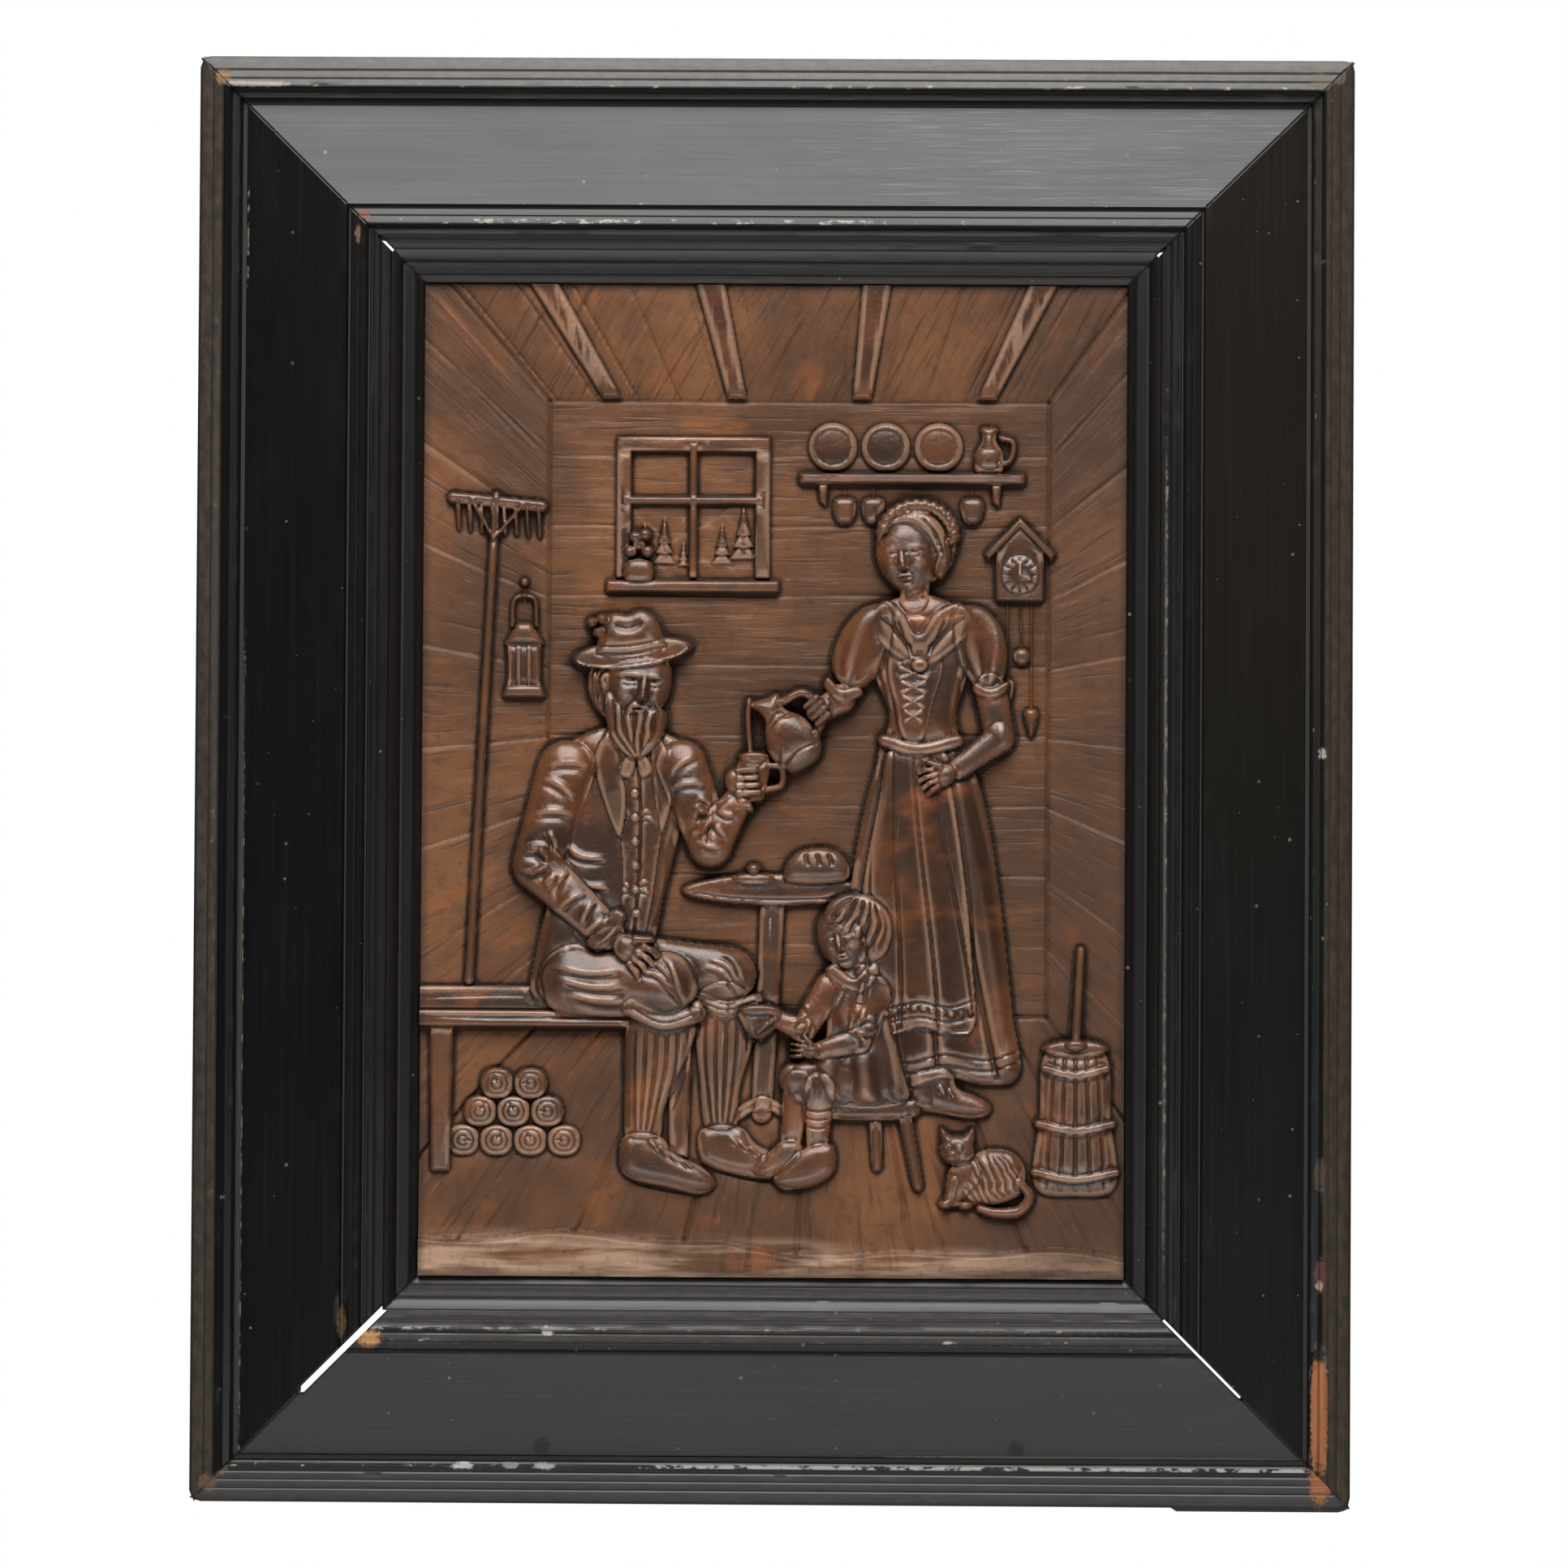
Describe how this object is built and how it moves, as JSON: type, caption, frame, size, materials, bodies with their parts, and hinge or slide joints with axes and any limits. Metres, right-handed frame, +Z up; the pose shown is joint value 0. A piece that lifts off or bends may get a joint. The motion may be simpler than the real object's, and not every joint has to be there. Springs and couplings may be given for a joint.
{
  "type": "relief plaque",
  "caption": "Framed wall plaque: a brown metal relief of a hut scene with figures, seated in a broad black moulded wooden frame with mitred corners.",
  "frame": {"origin": "middle of the top rail's flat back, which lies against the wall and carries the plaque", "axes": "+Z up the plaque, +X to the right as seen from the front, +Y into the wall; the relief faces -Y"},
  "size_m": [0.48, 0.028, 0.6015],
  "materials": {
    "black_wood": "ebonised satin lacquer, worn to bare brown wood at the corners and arrises",
    "brown_metal": "cast copper alloy with a dull brown patina, rubbed lighter on the high places"
  },
  "bodies": {
    "root": {"frame_rail_top": "black_wood", "frame_rail_right": "black_wood", "frame_rail_bottom": "black_wood", "frame_rail_left": "black_wood", "relief_panel": "brown_metal"}
  },
  "joints": []
}
